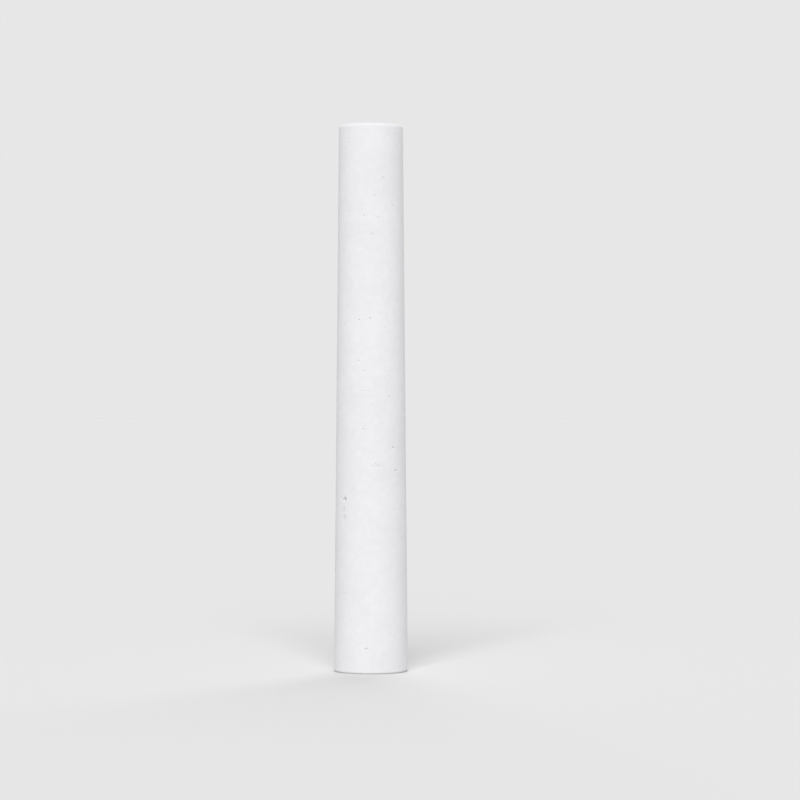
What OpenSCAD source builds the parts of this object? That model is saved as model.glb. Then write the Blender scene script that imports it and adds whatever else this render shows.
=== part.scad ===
// Blackboard chalk stick: one casting of gypsum plaster, drawn out of a drafted mould.
// It stands on its wide, struck end. +Z runs up the stick to its narrow, moulded end,
// and -Y is the front, from which bearings round the stick are counted.

/* [Stick] */
// Length from the struck end to the moulded end
stick_length = 80; // [60:0.5:95]
// Diameter at the struck end, before its rim is rounded
wide_end_diameter = 10.8; // [10.3:0.1:13]
// Diameter at the moulded end, before its rim is rounded
narrow_end_diameter = 9.4; // [8:0.1:10.2]

/* [Rims] */
// Rounding of the rim at the moulded end
moulded_rim_radius = 0.5; // [0.2:0.05:1.5]
// Rounding of the rim at the struck end
struck_rim_radius = 0.3; // [0.1:0.05:0.8]

/* [Casting pores] */
// Number of stray pores scattered over the side, besides the open ones on the front
stray_pores = 12; // [0:1:40]
// Mouth radius of the smallest stray pore
smallest_pore_radius = 0.14; // [0.1:0.01:0.18]
// Mouth radius of the largest stray pore
largest_pore_radius = 0.26; // [0.2:0.01:0.35]
// Height of sound side that the stray pores leave free at each rim
sound_rim_height = 3; // [2:0.5:8]

/* [Hidden] */

wide_radius = wide_end_diameter / 2;
narrow_radius = narrow_end_diameter / 2;
// Angle that the side leans from the axis, which lets the stick draw from its mould
draft_angle = atan((wide_radius - narrow_radius) / stick_length);
// Depth by which the ends of the side are sunk in the rims, so that they always meet
rim_overlap = 0.0005;
// A pore's floor as a share of its mouth
pore_floor_share = 0.5;
chalk_white = [0.94, 0.94, 0.95];
$fn = 64;

// Open pores grouped on the front: [height, bearing, mouth radius]
front_pores = [
    [30.1, 2.5, 0.12],
    [30.4, 8, 0.14],
    [30.2, 13, 0.16],
    [29.5, 45, 0.2],
    [28.6, -2, 0.12],
    [26.9, -32, 0.12],
    [26.5, -36, 0.1],
    [25.3, -46, 0.26],
    [23.8, 40, 0.16],
    [23.8, 27, 0.12],
];

// Radius of the drafted side at a height
function side_radius(height) = wide_radius - height * tan(draft_angle);

// A fixed number from 0 to 1 for each stray pore and each of its traits
function scatter(index, trait) =
    let (wave = 4000 * sin(index * 54.9 + trait * 18.3))
    wave - floor(wave);

// Height, bearing and mouth radius of one stray pore, with small ones the commonest
function stray_pore(index) = [
    sound_rim_height + scatter(index, 1) * (stick_length - 2 * sound_rim_height),
    360 * scatter(index, 2),
    smallest_pore_radius
        + pow(scatter(index, 3), 2) * (largest_pore_radius - smallest_pore_radius)
];

// Half of the stick's section: a drafted side between two rounded rims
module half_section() {
    struck_centre = [
        wide_radius - struck_rim_radius * (1 + sin(draft_angle)) / cos(draft_angle),
        struck_rim_radius
    ];
    moulded_centre = [
        narrow_radius - moulded_rim_radius * (1 - sin(draft_angle)) / cos(draft_angle),
        stick_length - moulded_rim_radius
    ];
    out_of_side = [cos(draft_angle), sin(draft_angle)];
    polygon([
        [0, 0],
        [struck_centre.x, 0],
        struck_centre + (struck_rim_radius - rim_overlap) * out_of_side,
        moulded_centre + (moulded_rim_radius - rim_overlap) * out_of_side,
        [moulded_centre.x, stick_length],
        [0, stick_length]
    ]);
    translate(struck_centre)
        circle(r = struck_rim_radius);
    translate(moulded_centre)
        circle(r = moulded_rim_radius);
}

// The pit that a burst air bubble leaves in the side, as deep as its mouth radius
module pore(height, bearing, radius) {
    rotate([0, 0, bearing])
        translate([0, radius - side_radius(height), height])
            rotate([90, 0, 0])
                cylinder(
                    h = 2 * radius,
                    r1 = pore_floor_share * radius,
                    r2 = (2 - pore_floor_share) * radius
                );
}

module chalk_stick() {
    color(chalk_white)
        difference() {
            rotate_extrude(angle = 360)
                half_section();
            for (spot = front_pores)
                pore(spot[0], spot[1], spot[2]);
            for (index = [1:1:stray_pores]) {
                spot = stray_pore(index);
                pore(spot[0], spot[1], spot[2]);
            }
        }
}

chalk_stick();
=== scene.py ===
import math
import random
import bpy
import numpy as np
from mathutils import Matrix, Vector, noise
from mathutils.geometry import delaunay_2d_cdt


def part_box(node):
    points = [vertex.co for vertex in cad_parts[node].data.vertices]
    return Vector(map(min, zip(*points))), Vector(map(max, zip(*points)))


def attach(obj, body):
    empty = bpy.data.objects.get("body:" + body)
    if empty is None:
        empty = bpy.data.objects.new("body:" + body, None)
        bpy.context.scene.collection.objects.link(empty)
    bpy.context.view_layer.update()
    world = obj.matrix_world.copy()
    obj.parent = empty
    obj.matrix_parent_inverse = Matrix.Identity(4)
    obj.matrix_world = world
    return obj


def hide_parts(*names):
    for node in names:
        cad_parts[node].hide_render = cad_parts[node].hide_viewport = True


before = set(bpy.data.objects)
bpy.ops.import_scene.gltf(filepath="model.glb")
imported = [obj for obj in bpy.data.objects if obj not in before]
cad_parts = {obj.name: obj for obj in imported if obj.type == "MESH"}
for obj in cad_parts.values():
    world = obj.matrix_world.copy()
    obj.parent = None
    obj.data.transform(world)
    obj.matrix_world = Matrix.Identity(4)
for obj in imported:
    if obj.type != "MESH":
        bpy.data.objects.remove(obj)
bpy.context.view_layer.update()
low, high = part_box("chalk_stick")
scene = bpy.context.scene
mm = 0.001
fullTurn = 2 * math.pi
rowSlope = math.sin(math.radians(60))  # height of a row of even-sided triangles
print("frame loaded: the stick stands", round((high.z - low.z) / mm, 1), "mm tall")


# the camera looks square on at the stick, level with its middle
shot = {
    "framePixels": 800,
    "pixelsPerMm": 6.82,
    "stickPixelX": 371,
    "basePixelY": 671,
    "lens": 135,
    "sensorWidth": 36,
    "nearest": 0.01,
    "furthest": 60,
}


def placeCamera(view):
    data = bpy.data.cameras.new("stickCamera")
    data.lens = view["lens"]
    data.sensor_width = view["sensorWidth"]
    data.clip_start = view["nearest"]
    data.clip_end = view["furthest"]
    camera = bpy.data.objects.new("stickCamera", data)
    scene.collection.objects.link(camera)
    middle = view["framePixels"] / 2
    distance = view["framePixels"] / view["pixelsPerMm"] * view["lens"] / view["sensorWidth"]
    camera.location = (
        (middle - view["stickPixelX"]) / view["pixelsPerMm"] * mm,
        -distance * mm,
        (view["basePixelY"] - middle) / view["pixelsPerMm"] * mm,
    )
    camera.rotation_euler = (math.radians(90), 0, 0)
    scene.camera = camera


placeCamera(shot)
print("camera placed")


# sizes are in mm and bearings in degrees round from the front, towards the right
stick = {
    "length": (high.z - low.z) / mm,
    "wideEnd": 10.8,  # across the struck end, before its rim is rounded
    "narrowEnd": 9.4,
    "struckRim": 0.3,
    "mouldedRim": 0.5,
    "net": {
        "columns": 108,
        "rimColumns": 216,
        "rimRows": 8,
        "rimRun": 0.12,  # from a rounded rim to the first row of the plain side
        "faceSpacing": 0.18,
        "faceEdge": 0.75,  # free edge of a face, in spacings
        "stray": 0.1,  # share of the spacing by which points leave their rows
        "overlap": 1.6,  # of the flat net with itself, where it closes at the back
    },
    "relief": {
        "wave": 0.02,
        "waveLength": 8.0,
        "sunk": 0.3,  # share of the wave by which the whole skin lies lower
        "peel": 0.005,
        "peelLength": 0.9,
        "peelShift": 40,  # keeps the peel from following the wave
        "fade": 1.5,  # over which the side's relief dies away towards the ends
        "scrape": 0.06,  # marks of the blade that struck the wide end off
        "scrapeWidth": 0.35,
        "scrapeLength": 6.0,
        "scrapeShift": 9,
        "turning": 0.01,  # rings that the turned pin left on the narrow end
        "turningPitch": 0.55,
        "faceFade": 0.7,
    },
    "pores": {
        # height, bearing, mouth radius, stretch, lean of the stretch, depth in mouth radii, grime and
        # painted shade
        "front": [
            (30.1, 2.5, 0.12, 1.0, 0, 1.0, 0.8),
            (30.4, 8, 0.13, 1.3, 80, 1.0, 0.8),
            (30.2, 13, 0.15, 1.2, 20, 1.0, 0.9),
            (30.0, 18.5, 0.07, 1.0, 0, 0.8, 0.8),
            (29.5, 45, 0.2, 1.1, 0, 1.0, 2.1),
            (28.6, -2, 0.11, 1.2, 90, 0.8, 1.1),
            (26.9, -32, 0.12, 1.0, 0, 0.9, 1.4),
            (26.5, -36, 0.1, 1.0, 0, 0.9, 1.4),
            (25.7, 21.4, 0.07, 1.2, 30, 0.5, 0.5),
            (25.3, -46, 0.3, 1.25, 110, 1.2, 4.6),
            (25.2, -52, 0.16, 4.5, 149, 0.4, 0.05),
            (25.2, 17.7, 0.06, 1.0, 0, 0.5, 0.5),
            (24.85, -16, 0.06, 1.3, 60, 0.5, 0.5),
            (23.9, -48.5, 0.32, 1.6, 97, 0.07, 1.7),
            (22.75, -48, 0.34, 1.2, 60, 0.1, 2.3),
            (23.8, 40, 0.15, 1.0, 0, 0.8, 1.1),
            (23.8, 27, 0.1, 1.9, 0, 0.3, 0.5),
        ],
        # no bubble is added to the stretch of the front whose pores are all given above
        "given": {"heights": (20.7, 31.7), "bearing": 80},
        "scatter": (4000, 54.9, 18.3),  # swing, and degrees for each pore and for each trait
        "strays": 12,
        "strayRadius": (0.14, 0.26),
        "soundRim": 3.0,  # no stray pore lies nearer the ends
        "bubbles": 230,
        "bubbleRadius": (0.035, 0.165),
        "bubblesFromEnds": 1.0,
        "bubblesFromSeam": 0.5,
        "company": 0.4,  # chance that a bubble has smaller ones near it
        "companyCount": (1, 3),
        "companyReach": 0.9,
        "companySize": 0.4,
        "faceBubbles": 26,
        "faceMargin": 4,  # from the edge of a face, in mouth radii
        "depth": (0.8, 1.2),
        "stretch": (1.0, 1.3),
        "apart": 0.06,
        "ragged": (0.08, 0.05),
        "lip": 0.999,  # share of the way out to the mouth from which the skin isn't sunk
        "stepsPerMm": 200,  # of mouth radius, for the points round each ring
        "steps": (10, 40),
        "largeRings": (1.25, 1.0, 0.93, 0.74, 0.42),
        "smallRings": (1.35, 1.0, 0.84, 0.45),
        "large": 0.09,
        "clear": 0.2,
        "seed": 5,
    },
    # a few grains lost from the edge that the blade left
    "crumbs": {
        "count": 15,
        "ballRadius": (0.3, 0.8),
        "bite": (0.01, 0.05),
        "slant": (30, 60),
        "seed": 21,
    },
    # where the side and the two faces lie on the bake map, in shares of its width and height
    "map": {
        "side": (0.72, 0.98),
        "corner": (0.01, 0.01),
        "struck": (0.87, 0.2),
        "moulded": (0.87, 0.6),
    },
    "finish": {
        "chalk": (0.887, 0.885, 0.904, 1),
        "shade": (0.85, 0.848, 0.87, 1),
        "rubbed": (0.897, 0.895, 0.913, 1),
        # dark grey painted into the pores and dents: dirt, and in the deeper pores painted shade too
        "grimeAndShade": (0.36, 0.35, 0.35, 1),
        "specular": 0.3,
        "diffuseRoughness": 0.3,
        "roughness": (0.72, 0.98),
        "bumpHeight": 0.02,
        "creaseAngle": 48,
        "coarseShare": 0.12,  # of the fineness, for the slower grain
        "drawnOut": 0.04,  # draws the grain out up the stick, where it dragged in the mould
        "patches": 170,  # to the metre, as the next two and the fineness are
        "blotches": 5000,
        "wornPatches": 900,
        # octaves of each noise
        "detail": {"fine": 2, "coarse": 4, "streaks": 3, "patches": 3, "blotches": 2, "worn": 3},
        "shadeRange": (0.38, 0.62),  # of the patches, from plain chalk to full shade
        "rubbedRange": (0.15, 0.6),
        "dullest": 1.5,  # tone and rubbing together, where the roughness is full
        "leastGrimeAndShade": 0.4,  # added to the blotches
        "surfaces": {
            "castSkin": {"Fineness": 9000, "Drag": 0.6, "Amount": 0.12, "bump": 0.5},
            "struckFace": {"Fineness": 6000, "Drag": 0, "Amount": 0.12, "bump": 1.0},
            "mouldedEnd": {"Fineness": 9000, "Drag": 0, "Amount": 0.12, "bump": 0.5},
        },
    },
}


# the drafted side and its two rounded rims, as angles and lengths
def measureSection(spec):
    wide, narrow = spec["wideEnd"] / 2, spec["narrowEnd"] / 2
    draft = math.atan((wide - narrow) / spec["length"])
    cosine, sine = math.cos(draft), math.sin(draft)
    rise = spec["length"] - spec["struckRim"] * (1 + sine) - spec["mouldedRim"] * (1 - sine)
    struckArc = spec["struckRim"] * (math.pi / 2 + draft)
    mouldedArc = spec["mouldedRim"] * (math.pi / 2 - draft)
    return {
        "draft": draft,
        "struckFlat": wide - spec["struckRim"] * (1 + sine) / cosine,
        "mouldedFlat": narrow - spec["mouldedRim"] * (1 - sine) / cosine,
        "struckArc": struckArc,
        "sideStart": spec["struckRim"] * (1 + sine),
        "side": rise / cosine,
        "travel": struckArc + rise / cosine + mouldedArc,
        "girth": math.pi * (wide + narrow),
    }


# radius, height and slope of the skin at a distance along the section from the struck face
def alongSection(spec, section, travel):
    draft = section["draft"]
    struckTurn = np.clip(travel / spec["struckRim"] - math.pi / 2, -math.pi / 2, draft)
    onSide = np.clip(travel - section["struckArc"], 0, section["side"])
    past = travel - section["struckArc"] - section["side"]
    mouldedTurn = np.clip(draft + past / spec["mouldedRim"], draft, math.pi / 2)
    radius = (
        section["struckFlat"]
        + spec["struckRim"] * np.cos(struckTurn)
        - onSide * math.sin(draft)
        + spec["mouldedRim"] * (np.cos(mouldedTurn) - math.cos(draft))
    )
    height = (
        spec["struckRim"] * (1 + np.sin(struckTurn))
        + onSide * math.cos(draft)
        + spec["mouldedRim"] * (np.sin(mouldedTurn) - math.sin(draft))
    )
    return radius, height, struckTurn + mouldedTurn - draft


# a place on the side when it is laid out flat, cut open down the back
def flatPlace(section, height, bearing):
    rise = (height - section["sideStart"]) / math.cos(section["draft"])
    return (bearing / 360 + 0.5) % 1 * section["girth"], section["struckArc"] + rise


# a fixed number from 0 to 1 for each stray pore and each of its traits
def scatter(rules, index, trait):
    swing, poreStep, traitStep = rules["scatter"]
    value = swing * math.sin(math.radians(index * poreStep + trait * traitStep))
    return value - math.floor(value)


def makePore(rules, chance, x, y, mouth, stretch=None, lean=None, depth=None, grimeAndShade=None):
    return {
        "x": x,
        "y": y,
        "mouth": mouth,
        "stretch": stretch or chance.uniform(*rules["stretch"]),
        "lean": chance.uniform(0, math.pi) if lean is None else math.radians(lean),
        "depth": mouth * (depth or chance.uniform(*rules["depth"])),
        # bigger pores take more grey, partly as dirt and partly as painted shade
        "grimeAndShade": grimeAndShade or min(1, mouth / rules["strayRadius"][0]),
        "phase": chance.uniform(0, fullTurn),
    }


def hasRoom(rules, x, y, mouth, others):
    longest = mouth * rules["stretch"][1]
    return all(
        math.hypot(x - other["x"], y - other["y"])
        > rules["largeRings"][0] * (longest + other["mouth"] * other["stretch"]) + rules["apart"]
        for other in others
    )


def isGiven(rules, section, x, y):
    bottom, top = rules["given"]["heights"]
    return bottom < y < top and abs(x / section["girth"] - 0.5) * 360 < rules["given"]["bearing"]


# a bubble, and now and then a few smaller ones near it
def bubbleGroup(rules, section, chance):
    small, large = rules["bubbleRadius"]
    reach = rules["companyReach"]
    x, y = chance.uniform(0, section["girth"]), chance.uniform(0, section["travel"])
    group = [(x, y, small + chance.random() ** 2 * (large - small))]
    if chance.random() < rules["company"]:
        for _ in range(chance.randint(*rules["companyCount"])):
            near = (x + chance.uniform(-reach, reach), y + chance.uniform(-reach, reach))
            group.append((*near, small + rules["companySize"] * chance.random() * (large - small)))
    return group


def sidePores(spec, section, chance):
    rules = spec["pores"]
    found = []
    for height, bearing, *traits in rules["front"]:
        found.append(makePore(rules, chance, *flatPlace(section, height, bearing), *traits))
    small, large = rules["strayRadius"]
    for index in range(1, rules["strays"] + 1):
        rise, turn, size = (scatter(rules, index, trait) for trait in (1, 2, 3))
        height = rules["soundRim"] + rise * (spec["length"] - 2 * rules["soundRim"])
        mouth = small + size**2 * (large - small)
        found.append(makePore(rules, chance, *flatPlace(section, height, 360 * turn), mouth))
    endGap, seamGap = rules["bubblesFromEnds"], rules["bubblesFromSeam"]
    for _ in range(rules["bubbles"]):
        for x, y, mouth in bubbleGroup(rules, section, chance):
            offEnds = endGap < y < section["travel"] - endGap
            offSeam = seamGap < x < section["girth"] - seamGap
            allowed = offEnds and offSeam and not isGiven(rules, section, x, y)
            if allowed and hasRoom(rules, x, y, mouth, found):
                found.append(makePore(rules, chance, x, y, mouth))
    return found


def facePores(rules, radius, chance):
    found = []
    small, large = rules["bubbleRadius"]
    for _ in range(rules["faceBubbles"]):
        turn, out = chance.uniform(0, fullTurn), radius * math.sqrt(chance.random())
        x, y = out * math.cos(turn), out * math.sin(turn)
        mouth = small + chance.random() ** 2 * (large - small)
        if out < radius - rules["faceMargin"] * mouth and hasRoom(rules, x, y, mouth, found):
            found.append(makePore(rules, chance, x, y, mouth))
    return found


# the outline of a mouth is a little out of round
def raggedMouth(rules, pore, turn):
    three, five = rules["ragged"]
    return pore["mouth"] * (
        1 + three * np.sin(3 * turn + pore["phase"]) + five * np.sin(5 * turn - 2 * pore["phase"])
    )


# how far points lie from a pore's middle, where 1 is its mouth
def shareOut(rules, pore, points, girth):
    dx = points[:, 0] - pore["x"]
    dy = points[:, 1] - pore["y"]
    if girth:
        dx = (dx + girth / 2) % girth - girth / 2
    cosine, sine = math.cos(pore["lean"]), math.sin(pore["lean"])
    along = (dx * cosine + dy * sine) / pore["stretch"]
    across = dy * cosine - dx * sine
    return np.hypot(along, across) / raggedMouth(rules, pore, np.arctan2(across, along))


# rings of points for one pore, and the edges that run round each ring
def poreRings(rules, pore):
    size = pore["mouth"] * math.sqrt(pore["stretch"])
    steps = int(np.clip(rules["stepsPerMm"] * size, *rules["steps"]))
    shares = rules["largeRings"] if pore["mouth"] > rules["large"] else rules["smallRings"]
    cosine, sine = math.cos(pore["lean"]), math.sin(pore["lean"])
    points = [(pore["x"], pore["y"])]
    edges = []
    for ring, share in enumerate(shares):
        edges.extend((len(points) + step, len(points) + (step + 1) % steps) for step in range(steps))
        turn = (np.arange(steps) + ring % 2 / 2) / steps * fullTurn
        reach = raggedMouth(rules, pore, turn) * share
        along, across = reach * np.cos(turn) * pore["stretch"], reach * np.sin(turn)
        x = pore["x"] + along * cosine - across * sine
        y = pore["y"] + along * sine + across * cosine
        points.extend(zip(x, y))
    return np.array(points), np.array(edges)


# sets rings of points for the pores into a lattice, and says how deep each point is and how much grey
# it takes, as grime and as painted shade
def setPores(rules, lattice, found, girth=None):
    reach = rules["largeRings"][0] + rules["clear"]
    for pore in found:
        lattice = lattice[shareOut(rules, pore, lattice, girth) > reach]
    groups, edges, count = [lattice], [], len(lattice)
    for pore in found:
        rings, around = poreRings(rules, pore)
        groups.append(rings)
        edges.append(around + count)
        count += len(rings)
    points, edges = np.vstack(groups), np.vstack(edges)
    if girth:
        laps = points[edges, 0] // girth
        edges = edges[laps[:, 0] == laps[:, 1]]
        points[:, 0] %= girth
    sink = np.zeros(count)
    grimeAndShade = np.zeros(count)
    holders = np.zeros(count, int)  # how many pores each point lies in
    for pore in found:
        share = shareOut(rules, pore, points, girth)
        bowl = np.sqrt(1 - np.clip(share, 0, 1) ** 2)
        bowl[share > rules["lip"]] = 0
        sink = np.maximum(sink, pore["depth"] * bowl)
        # the grey grows towards the bottom of a pore: partly dirt, partly painted shade
        grimeAndShade = np.maximum(grimeAndShade, pore["grimeAndShade"] * bowl)
        holders += share < reach
    return points, sink, grimeAndShade, edges[holders[edges].max(axis=1) < 2]


wholeNet = 0  # the kind of net asked for, with every triangle out to the hull
sameWithin = 1e-9  # points nearer than this become one


def netOf(points, edges):
    places = [Vector(point) for point in points]
    made = delaunay_2d_cdt(places, edges.tolist(), [], wholeNet, sameWithin, True)
    if not all(made[3]):
        print("some rings cross, so this net is made without them")
        made = delaunay_2d_cdt(places, [], [], wholeNet, sameWithin, True)
    first = np.array([sources[0] for sources in made[3]])
    return first[np.array(made[2])]


# staggered rows of points up the side, close together on the rims
def sideLattice(spec, section, chance):
    net = spec["net"]
    girth, travel = section["girth"], section["travel"]
    start, end = section["struckArc"], section["struckArc"] + section["side"]
    rowGap = girth / net["columns"] * rowSlope
    rimRows = [*np.linspace(0, start, net["rimRows"]), start + net["rimRun"]]
    endRows = [end - net["rimRun"], *np.linspace(end, travel, net["rimRows"])]
    count = round((endRows[0] - rimRows[-1]) / rowGap)
    sideRows = np.linspace(rimRows[-1], endRows[0], count + 1)[1:-1]
    points = []
    for index, y in enumerate([*rimRows, *sideRows, *endRows]):
        plain = rimRows[-1] < y < endRows[0]
        columns = net["columns"] if plain else net["rimColumns"]
        stray = net["stray"] * girth / columns if plain else 0
        for column in range(columns):
            x = (column + index % 2 / 2) / columns * girth + chance.uniform(-stray, stray)
            points.append((x % girth, y + chance.uniform(-stray, stray)))
    return np.array(points)


# triangles that close round the stick, with where each corner lies when they are laid flat
def sideNet(points, edges, girth, overlap):
    right = np.flatnonzero(points[:, 0] < overlap)
    left = np.flatnonzero(points[:, 0] > girth - overlap)
    source = np.concatenate([np.arange(len(points)), right, left])
    spread = points[source].copy()
    spread[len(points) : len(points) + len(right), 0] += girth
    spread[len(points) + len(right) :, 0] -= girth
    net = netOf(spread, edges)
    middle = spread[net, 0].mean(axis=1)
    net = net[(middle >= 0) & (middle < girth)]
    return source[net], spread[net]


def faceLattice(radius, net, chance):
    spacing = net["faceSpacing"]
    rowGap = spacing * rowSlope
    rows = int(radius / rowGap) + 1
    points = []
    for row in range(-rows, rows + 1):
        for column in range(-rows - 1, rows + 2):
            x = (column + row % 2 / 2 + chance.uniform(-1, 1) * net["stray"]) * spacing
            y = row * rowGap + chance.uniform(-1, 1) * net["stray"] * spacing
            if math.hypot(x, y) < radius - net["faceEdge"] * spacing:
                points.append((x, y))
    return np.array(points)


def smooth(share):
    share = np.clip(share, 0, 1)
    return share * share * (3 - 2 * share)


def noiseAt(places, shift=0):
    return np.array([noise.noise(Vector((x + shift, y, z))) for x, y, z in places])


# each crumb is a bite pressed into the struck edge by a ball
def crumbleEdge(spec, places):
    crumbs = spec["crumbs"]
    chance = random.Random(crumbs["seed"])
    inset = spec["struckRim"] * (1 - math.sqrt(0.5))
    for _ in range(crumbs["count"]):
        turn = chance.uniform(0, fullTurn)
        ball, bite = chance.uniform(*crumbs["ballRadius"]), chance.uniform(*crumbs["bite"])
        slant = math.radians(chance.uniform(*crumbs["slant"]))
        around = np.array([math.cos(turn), math.sin(turn), 0])
        edge = around * (spec["wideEnd"] / 2 - inset) + np.array([0, 0, inset])
        out = around * math.cos(slant) - np.array([0, 0, math.sin(slant)])
        centre = edge + out * (ball - bite)
        away = places - centre
        distance = np.linalg.norm(away, axis=1)
        pressed = distance < ball
        places[pressed] = centre + away[pressed] / distance[pressed, None] * ball


def castSide(spec, section, chance):
    relief = spec["relief"]
    found = sidePores(spec, section, chance)
    lattice = sideLattice(spec, section, chance)
    points, sink, grimeAndShade, edges = setPores(spec["pores"], lattice, found, section["girth"])
    faces, corners = sideNet(points, edges, section["girth"], spec["net"]["overlap"])
    radius, height, slope = alongSection(spec, section, points[:, 1])
    turn = points[:, 0] / section["girth"] * fullTurn - math.pi
    around = np.column_stack([np.sin(turn), -np.cos(turn)])
    skin = np.column_stack([around * radius[:, None], height])
    outward = np.column_stack([around * np.cos(slope)[:, None], np.sin(slope)])
    fromEnd = np.minimum(points[:, 1], section["travel"] - points[:, 1])
    uneven = relief["wave"] * (noiseAt(skin / relief["waveLength"]) - relief["sunk"])
    uneven += relief["peel"] * noiseAt(skin / relief["peelLength"], relief["peelShift"])
    uneven = uneven * smooth(fromEnd / relief["fade"]) - sink
    print("side cast with", len(found), "pores")
    return {
        "points": points,
        "places": skin + outward * uneven[:, None],
        "grimeAndShade": grimeAndShade,
        "rim": 1 - smooth(fromEnd / relief["fade"]),
        "faces": faces,
        "corners": corners / (section["girth"], section["travel"]),
    }


# the flat at one end, sewn to the last row of points of the side
def castFace(spec, side, rowY, radius, chance):
    relief = spec["relief"]
    struck = rowY == 0
    ring = np.flatnonzero(side["points"][:, 1] == rowY)
    found = facePores(spec["pores"], radius, chance)
    lattice = faceLattice(radius, spec["net"], chance)
    inner, sink, grimeAndShade, edges = setPores(spec["pores"], lattice, found)
    fromEdge = radius - np.hypot(*inner.T)
    if struck:
        marks = inner / (relief["scrapeWidth"], relief["scrapeLength"])
        level = noiseAt(np.column_stack([marks, np.zeros(len(marks))]), relief["scrapeShift"])
        dip = relief["scrape"] * (1 + level) / 2
    else:
        dip = relief["turning"] * (1 + np.sin(fromEdge / relief["turningPitch"] * fullTurn))
    dip = dip * smooth(fromEdge / relief["faceFade"]) + sink
    both = np.vstack([side["places"][ring, :2], inner])
    source = np.concatenate([ring, np.arange(len(inner)) + len(side["places"])])
    net = netOf(both, edges + len(ring))
    if struck:
        net = net[:, ::-1]
    return {
        "places": np.column_stack([inner, dip if struck else spec["length"] - dip]),
        "grimeAndShade": grimeAndShade,
        "rim": 1 - smooth(fromEdge / relief["fade"]),
        "faces": source[net],
        "corners": both[net] / radius,
    }


# on the bake map the side lies on the left, and on the right the faces, the struck one seen from below
def bakeMap(spec, parts, section):
    side, struck, moulded = parts
    layout = spec["map"]
    faceScale = layout["side"][0] / section["girth"] * section["struckFlat"]
    sideMap = side["corners"] * layout["side"] + layout["corner"]
    struckMap = struck["corners"] * (-faceScale, faceScale) + layout["struck"]
    mouldedMap = moulded["corners"] * faceScale + layout["moulded"]
    return np.vstack([sideMap, struckMap, mouldedMap])


def castStick(spec):
    chance = random.Random(spec["pores"]["seed"])
    section = measureSection(spec)
    side = castSide(spec, section, chance)
    struck = castFace(spec, side, 0, section["struckFlat"], chance)
    moulded = castFace(spec, side, section["travel"], section["mouldedFlat"], chance)
    moulded["faces"][moulded["faces"] >= len(side["places"])] += len(struck["places"])
    parts = [side, struck, moulded]
    places = np.vstack([part["places"] for part in parts])
    crumbleEdge(spec, places)
    mesh = bpy.data.meshes.new("chalkStick")
    faces = np.vstack([part["faces"] for part in parts])
    mesh.from_pydata((places * mm).tolist(), [], faces.tolist())
    surface = np.repeat(np.arange(len(parts)), [len(part["faces"]) for part in parts])
    mesh.polygons.foreach_set("material_index", surface.astype(np.int32))
    mesh.polygons.foreach_set("use_smooth", np.ones(len(faces), bool))
    for trait in ("grimeAndShade", "rim"):
        values = np.concatenate([part[trait] for part in parts]).astype(np.float32)
        mesh.attributes.new(trait, "FLOAT", "POINT").data.foreach_set("value", values)
    uv = mesh.uv_layers.new(name="OFBake")
    uv.data.foreach_set("uv", bakeMap(spec, parts, section).astype(np.float32).ravel())
    mesh.set_sharp_from_angle(angle=math.radians(spec["finish"]["creaseAngle"]))
    mesh.validate()
    print("stick cast:", len(places), "points and", len(faces), "triangles")
    return mesh


stickMesh = castStick(stick)
chalkStick = bpy.data.objects.new("chalkStick", stickMesh)
scene.collection.objects.link(chalkStick)


nodeSpacing = 220


def addNode(tree, kind, inputs=None, **settings):
    node = tree.nodes.new(kind)
    node.location = (nodeSpacing * len(tree.nodes), 0)
    for name, value in settings.items():
        setattr(node, name, value)
    for name, value in (inputs or {}).items():
        if isinstance(value, bpy.types.NodeSocket):
            tree.links.new(value, node.inputs[name])
        else:
            node.inputs[name].default_value = value
    return node


def startGroup(name, inputs, outputs):
    tree = bpy.data.node_groups.new(name, "ShaderNodeTree")
    for socketName, kind in inputs.items():
        tree.interface.new_socket(name=socketName, in_out="INPUT", socket_type="NodeSocket" + kind)
    for socketName, kind in outputs.items():
        tree.interface.new_socket(name=socketName, in_out="OUTPUT", socket_type="NodeSocket" + kind)
    return tree, addNode(tree, "NodeGroupInput").outputs


def calculate(tree, operation, first, second, **settings):
    inputs = {0: first, 1: second}
    return addNode(tree, "ShaderNodeMath", inputs, operation=operation, **settings).outputs[0]


def addNoise(tree, place, scale, detail):
    inputs = {"Vector": place, "Scale": scale, "Detail": detail}
    return addNode(tree, "ShaderNodeTexNoise", inputs).outputs[0]


# carries a value from one range over to another
def rescale(tree, value, taken, given=(0, 1)):
    ends = {"From Min": taken[0], "From Max": taken[1], "To Min": given[0], "To Max": given[1]}
    return addNode(tree, "ShaderNodeMapRange", {"Value": value, **ends}).outputs[0]


def mixColour(tree, factor, first, second):
    node = addNode(tree, "ShaderNodeMix", data_type="RGBA")
    for name, value in (("Factor", factor), ("A", first), ("B", second)):
        socket = next(i for i in node.inputs if i.name == name and i.enabled)
        tree.links.new(value, socket)
    return next(o for o in node.outputs if o.enabled)


# the grain of set gypsum, with a height for the bump and a slower tone
def buildGrain(look):
    tree, given = startGroup(
        "gypsumGrain",
        {"Place": "Vector", "Fineness": "Float", "Drag": "Float"},
        {"Height": "Float", "Tone": "Float"},
    )
    detail = look["detail"]
    fine = addNoise(tree, given["Place"], given["Fineness"], detail["fine"])
    coarseScale = calculate(tree, "MULTIPLY", given["Fineness"], look["coarseShare"])
    coarse = addNoise(tree, given["Place"], coarseScale, detail["coarse"])
    drawing = {"Vector": given["Place"], "Scale": (1, 1, look["drawnOut"])}
    drawn = addNode(tree, "ShaderNodeMapping", drawing).outputs[0]
    streaks = addNoise(tree, drawn, coarseScale, detail["streaks"])
    dragged = calculate(tree, "MULTIPLY", streaks, given["Drag"])
    height = calculate(tree, "ADD", calculate(tree, "ADD", fine, coarse), dragged)
    addNode(tree, "NodeGroupOutput", {"Height": height, "Tone": coarse})
    return tree


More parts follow.
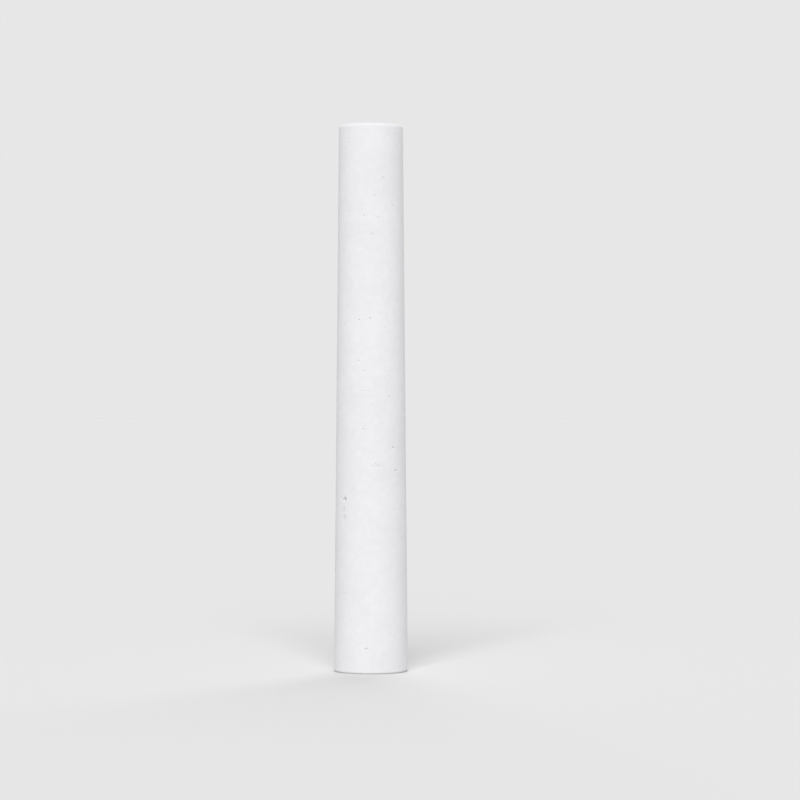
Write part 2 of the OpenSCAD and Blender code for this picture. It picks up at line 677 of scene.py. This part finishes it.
# slow patches a shade darker than the chalk, where it dried more slowly
def buildTone(look):
    tree, given = startGroup(
        "dryingTone",
        {"Place": "Vector", "Chalk": "Color", "Shade": "Color", "Tone": "Float"},
        {"Color": "Color"},
    )
    patches = addNoise(tree, given["Place"], look["patches"], look["detail"]["patches"])
    both = calculate(tree, "MULTIPLY", calculate(tree, "ADD", patches, given["Tone"]), 0.5)
    mask = rescale(tree, both, look["shadeRange"])
    mixed = mixColour(tree, mask, given["Chalk"], given["Shade"])
    addNode(tree, "NodeGroupOutput", {"Color": mixed})
    return tree


# bare powder where the edges have been rubbed, whiter and duller than the cast skin
def buildRubbing(look):
    tree, given = startGroup(
        "rubbedEdge",
        {"Place": "Vector", "Color": "Color", "Rubbed": "Color", "Rim": "Float", "Tone": "Float"},
        {"Color": "Color", "Roughness": "Float"},
    )
    patches = addNoise(tree, given["Place"], look["wornPatches"], look["detail"]["worn"])
    worn = calculate(tree, "MULTIPLY", given["Rim"], patches)
    mask = rescale(tree, worn, look["rubbedRange"])
    mixed = mixColour(tree, mask, given["Color"], given["Rubbed"])
    dull = calculate(tree, "ADD", given["Tone"], mask)
    rough = rescale(tree, dull, (0, look["dullest"]), look["roughness"])
    addNode(tree, "NodeGroupOutput", {"Color": mixed, "Roughness": rough})
    return tree


# grey dirt that stays in the pores and dents, and painted shade that darkens the deeper pores
def buildGrimeAndShade(look):
    tree, given = startGroup(
        "poreGrimeAndShade",
        {"Place": "Vector", "Color": "Color", "GrimeAndShade": "Color", "Depth": "Float", "Amount": "Float"},
        {"Color": "Color"},
    )
    blotches = addNoise(tree, given["Place"], look["blotches"], look["detail"]["blotches"])
    broken = calculate(tree, "ADD", blotches, look["leastGrimeAndShade"])
    deep = calculate(tree, "MULTIPLY", given["Depth"], broken)
    # the mask darkens the pores by their depth: partly dirt, partly painted shade
    mask = calculate(tree, "MULTIPLY", deep, given["Amount"], use_clamp=True)
    mixed = mixColour(tree, mask, given["Color"], given["GrimeAndShade"])
    addNode(tree, "NodeGroupOutput", {"Color": mixed})
    return tree


finish = stick["finish"]
groups = [build(finish) for build in (buildGrain, buildTone, buildRubbing, buildGrimeAndShade)]
print("node groups built")


# the groups stand in a row, and each passes on what the later ones take up
def buildChalk(name, look, surface):
    material = bpy.data.materials.new(name)
    material.use_nodes = True
    tree = material.node_tree
    tree.nodes.clear()
    settings = {
        "Chalk": look["chalk"],
        "Shade": look["shade"],
        "Rubbed": look["rubbed"],
        "GrimeAndShade": look["grimeAndShade"],
        **surface,
    }
    passed = {
        "Place": addNode(tree, "ShaderNodeTexCoord").outputs["Object"],
        "Rim": addNode(tree, "ShaderNodeAttribute", attribute_name="rim").outputs["Fac"],
        # this attribute carries the pores' grey: dirt, and painted shade in the deeper ones
        "Depth": addNode(tree, "ShaderNodeAttribute", attribute_name="grimeAndShade").outputs["Fac"],
    }
    for group in groups:
        node = addNode(tree, "ShaderNodeGroup", node_tree=group)
        for socket in node.inputs:
            if socket.name in passed:
                tree.links.new(passed[socket.name], socket)
            else:
                socket.default_value = settings[socket.name]
        passed.update({socket.name: socket for socket in node.outputs})
    bump = {
        "Strength": surface["bump"],
        "Distance": look["bumpHeight"] * mm,
        "Height": passed["Height"],
    }
    shader = {
        "Base Color": passed["Color"],
        "Roughness": passed["Roughness"],
        "Diffuse Roughness": look["diffuseRoughness"],
        "Specular IOR Level": look["specular"],
        "Normal": addNode(tree, "ShaderNodeBump", bump).outputs[0],
    }
    principled = addNode(tree, "ShaderNodeBsdfPrincipled", shader)
    addNode(tree, "ShaderNodeOutputMaterial", {"Surface": principled.outputs[0]})
    return material


for surfaceName, surface in finish["surfaces"].items():
    stickMesh.materials.append(buildChalk(surfaceName, finish, surface))
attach(chalkStick, "root")
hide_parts("chalk_stick")
print("stick finished")


# soft light from in front and above, a weaker one from behind, and an even pale surround
studio = {
    "surround": 0.385,
    "front": {"share": 0.51, "bearing": -3, "elevation": 37, "spread": 32},
    "rear": {"share": 0.44, "bearing": 170, "elevation": 22, "spread": 50},
    "floorWidth": 12.0,
    "floorBounce": 0.65,  # what the floor gives back to the stick
    "floorSeen": 0.8,  # how bright the floor and the background look
}


# a lamp that gives an upright surface facing it the share that is asked
def hangLamp(name, lamp):
    sun = bpy.data.lights.new(name, "SUN")
    elevation = math.radians(lamp["elevation"])
    sun.energy = lamp["share"] * math.pi / math.cos(elevation)
    sun.angle = math.radians(lamp["spread"])
    holder = bpy.data.objects.new(name, sun)
    holder.rotation_euler = (math.pi / 2 - elevation, 0, math.radians(lamp["bearing"]))
    scene.collection.objects.link(holder)
    return lamp["share"] * math.tan(elevation)


# one value for what the eye meets and another for what lights the stick
def seenOrLit(tree, seen, lit):
    path = addNode(tree, "ShaderNodeLightPath").outputs
    direct = calculate(tree, "ADD", path["Is Camera Ray"], path["Is Glossy Ray"])
    either = calculate(tree, "ADD", direct, path["Is Transmission Ray"])
    return rescale(tree, either, (0, 1), (lit, seen))


# falling is the light that reaches the floor
def layFloor(room, falling):
    half = room["floorWidth"] / 2
    mesh = bpy.data.meshes.new("floor")
    corners = [(-half, -half, 0), (half, -half, 0), (half, half, 0), (-half, half, 0)]
    mesh.from_pydata(corners, [], [(0, 1, 2, 3)])
    material = bpy.data.materials.new("paleFloor")
    material.use_nodes = True
    tree = material.node_tree
    tree.nodes.clear()
    level = seenOrLit(tree, room["floorSeen"] / falling, room["floorBounce"])
    diffuse = addNode(tree, "ShaderNodeBsdfDiffuse", {"Color": level})
    addNode(tree, "ShaderNodeOutputMaterial", {"Surface": diffuse.outputs[0]})
    mesh.materials.append(material)
    floor = bpy.data.objects.new("floor", mesh)
    scene.collection.objects.link(floor)


def lightWorld(room):
    world = bpy.data.worlds.new("studio")
    world.use_nodes = True
    tree = world.node_tree
    tree.nodes.clear()
    level = seenOrLit(tree, room["floorSeen"], room["surround"])
    background = addNode(tree, "ShaderNodeBackground", {"Color": (1, 1, 1, 1), "Strength": level})
    addNode(tree, "ShaderNodeOutputWorld", {"Surface": background.outputs[0]})
    scene.world = world


falling = studio["surround"]
for side in ("front", "rear"):
    falling += hangLamp(side + "Lamp", studio[side])
layFloor(studio, falling)
lightWorld(studio)
scene.view_settings.view_transform = "Standard"
print("studio lit")
